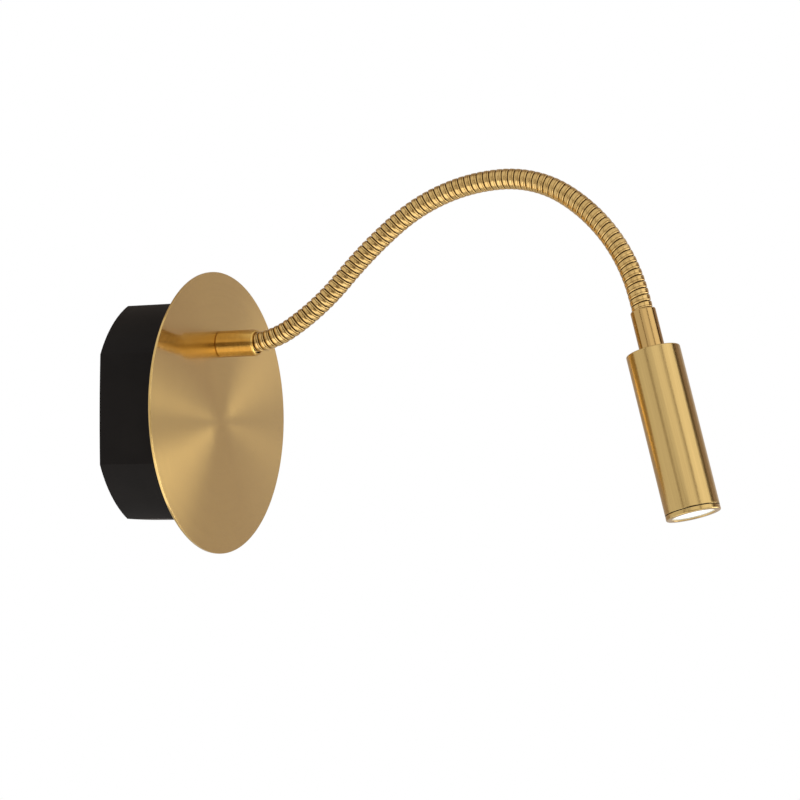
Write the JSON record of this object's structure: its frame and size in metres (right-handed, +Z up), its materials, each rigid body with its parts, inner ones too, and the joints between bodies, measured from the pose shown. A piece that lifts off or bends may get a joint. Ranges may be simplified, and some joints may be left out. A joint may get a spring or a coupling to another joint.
{
  "type": "wall spotlight",
  "caption": "Wall spotlight: a round brushed plate on a black back box carries a bendable wound neck with a slim cylindrical lamp head and a glowing front lens.",
  "frame": {"origin": "centre between the two wall screw slots, on the wall plane at the back of the bracket", "axes": "+Y into the wall, the lamp reaches out along -Y, +Z up, +X to the right for someone who faces the lamp"},
  "size_m": [0.12, 0.2509, 0.1564],
  "materials": {
    "plate_brass": "circular brushed",
    "ferrule_brass": "polished",
    "neck_brass": "satin",
    "head_brass": "brushed lengthwise",
    "box_black": "satin black powder coat",
    "screw_black": "black oxide",
    "zinc_steel": "zinc plated",
    "core_steel": "plain spring steel",
    "brass_screw": "plain",
    "driver_plastic": "moulded",
    "board_green": "solder mask",
    "terminal_plastic": "moulded",
    "lead_brown": "sleeve",
    "lead_blue": "sleeve",
    "lead_green": "sleeve",
    "lead_white": "sleeve",
    "seal_rubber": "moulded",
    "lens_glow": "opal diffuser",
    "reflector_bright": "metallised",
    "emitter_yellow": "phosphor",
    "board_white": "white solder mask",
    "sink_aluminium": "turned"
  },
  "bodies": {
    "base": {"back_box": "box_black", "base_ferrule": "ferrule_brass", "box_fixing_screws": "screw_black", "driver_board": "board_green", "driver_case": "driver_plastic", "driver_cover": "driver_plastic", "earth_lead": "lead_green", "earth_screw": "brass_screw", "face_plate": "plate_brass", "ferrule_nut": "zinc_steel", "ferrule_washer": "zinc_steel", "lamp_lead": "lead_white", "live_lead": "lead_brown", "module_screws": "zinc_steel", "neck_core_00": "core_steel", "neck_winding_00": "neck_brass", "neutral_lead": "lead_blue", "plate_nuts": "zinc_steel", "terminal_block": "terminal_plastic", "terminal_screws": "zinc_steel", "wall_bracket": "zinc_steel"},
    "neck_01": {"neck_winding_01": "neck_brass", "neck_core_01": "core_steel"},
    "neck_02": {"neck_winding_02": "neck_brass", "neck_core_02": "core_steel"},
    "neck_03": {"neck_winding_03": "neck_brass", "neck_core_03": "core_steel"},
    "neck_04": {"neck_winding_04": "neck_brass", "neck_core_04": "core_steel"},
    "neck_05": {"neck_winding_05": "neck_brass", "neck_core_05": "core_steel"},
    "neck_06": {"neck_winding_06": "neck_brass", "neck_core_06": "core_steel"},
    "neck_07": {"neck_winding_07": "neck_brass", "neck_core_07": "core_steel"},
    "neck_08": {"neck_winding_08": "neck_brass", "neck_core_08": "core_steel"},
    "neck_09": {"neck_winding_09": "neck_brass", "neck_core_09": "core_steel"},
    "neck_10": {"neck_winding_10": "neck_brass", "neck_core_10": "core_steel"},
    "neck_11": {"neck_winding_11": "neck_brass", "neck_core_11": "core_steel"},
    "head": {"neck_winding_12": "neck_brass", "neck_core_12": "core_steel", "head_ferrule": "ferrule_brass", "head_nut": "zinc_steel", "head_body": "head_brass", "front_bezel": "head_brass", "lens_seal": "seal_rubber", "front_lens": "lens_glow", "reflector": "reflector_bright", "led_emitter": "emitter_yellow", "led_board": "board_white", "heat_sink": "sink_aluminium", "board_screws": "zinc_steel"}
  },
  "joints": [
    {"name": "lower_lift", "type": "hinge", "parent": "base", "child": "neck_01", "pos_m": [0.00018, -0.05889, 0.03161], "axis": [-0.9971, 0, 0.0767], "range_deg": [-10, 10], "deforming": ["lamp_lead"]},
    {"name": "lower_swing", "type": "hinge", "parent": "neck_01", "child": "neck_02", "pos_m": [0.00089, -0.0744, 0.04087], "axis": [0.0612, 0.6038, 0.7948], "range_deg": [-15, 15], "deforming": ["lamp_lead"]},
    {"name": "lower_lift_2", "type": "hinge", "parent": "neck_02", "child": "neck_03", "pos_m": [0.00182, -0.08787, 0.05295], "axis": [-0.9971, 0, 0.0767], "range_deg": [-10, 10], "deforming": ["lamp_lead"]},
    {"name": "lower_swing_2", "type": "hinge", "parent": "neck_03", "child": "neck_04", "pos_m": [0.00282, -0.10054, 0.06589], "axis": [0.0561, 0.6828, 0.7285], "range_deg": [-15, 15], "deforming": ["lamp_lead"]},
    {"name": "lower_lift_3", "type": "hinge", "parent": "neck_04", "child": "neck_05", "pos_m": [0.00371, -0.11439, 0.07757], "axis": [-0.9971, 0, 0.0767], "range_deg": [-10, 10], "deforming": ["lamp_lead"]},
    {"name": "lower_swing_3", "type": "hinge", "parent": "neck_05", "child": "neck_06", "pos_m": [0.00439, -0.13017, 0.0864], "axis": [0.0709, 0.3821, 0.9214], "range_deg": [-15, 15], "deforming": ["lamp_lead"]},
    {"name": "upper_tilt", "type": "hinge", "parent": "neck_06", "child": "neck_07", "pos_m": [0.00477, -0.1476, 0.09126], "axis": [-0.9971, 0, 0.0767], "range_deg": [-15, 15], "deforming": ["lamp_lead"]},
    {"name": "upper_swing", "type": "hinge", "parent": "neck_07", "child": "neck_08", "pos_m": [0.0048, -0.16568, 0.09172], "axis": [0.0761, -0.1308, 0.9885], "range_deg": [-15, 15], "deforming": ["lamp_lead"]},
    {"name": "upper_tilt_2", "type": "hinge", "parent": "neck_08", "child": "neck_09", "pos_m": [0.00437, -0.18283, 0.08615], "axis": [-0.9971, 0, 0.0767], "range_deg": [-15, 15], "deforming": ["lamp_lead"]},
    {"name": "upper_swing_2", "type": "hinge", "parent": "neck_09", "child": "neck_10", "pos_m": [0.00354, -0.19728, 0.0753], "axis": [0.0552, -0.6951, 0.7168], "range_deg": [-15, 15], "deforming": ["lamp_lead"]},
    {"name": "upper_tilt_3", "type": "hinge", "parent": "neck_10", "child": "neck_11", "pos_m": [0.00246, -0.20871, 0.0613], "axis": [-0.9971, 0, 0.0767], "range_deg": [-15, 15], "deforming": ["lamp_lead"]},
    {"name": "upper_swing_3", "type": "hinge", "parent": "neck_11", "child": "head", "pos_m": [0.00121, -0.21648, 0.04501], "axis": [0.0245, -0.9477, 0.3182], "range_deg": [-15, 15], "deforming": ["lamp_lead"]}
  ],
  "couplings": [
    {"joint": "lower_lift_2", "follows": "lower_lift", "ratio": 1},
    {"joint": "lower_swing_2", "follows": "lower_swing", "ratio": 1},
    {"joint": "lower_lift_3", "follows": "lower_lift", "ratio": 1},
    {"joint": "lower_swing_3", "follows": "lower_swing", "ratio": 1},
    {"joint": "upper_tilt_2", "follows": "upper_tilt", "ratio": 1},
    {"joint": "upper_swing_2", "follows": "upper_swing", "ratio": 1},
    {"joint": "upper_tilt_3", "follows": "upper_tilt", "ratio": 1},
    {"joint": "upper_swing_3", "follows": "upper_swing", "ratio": 1}
  ]
}
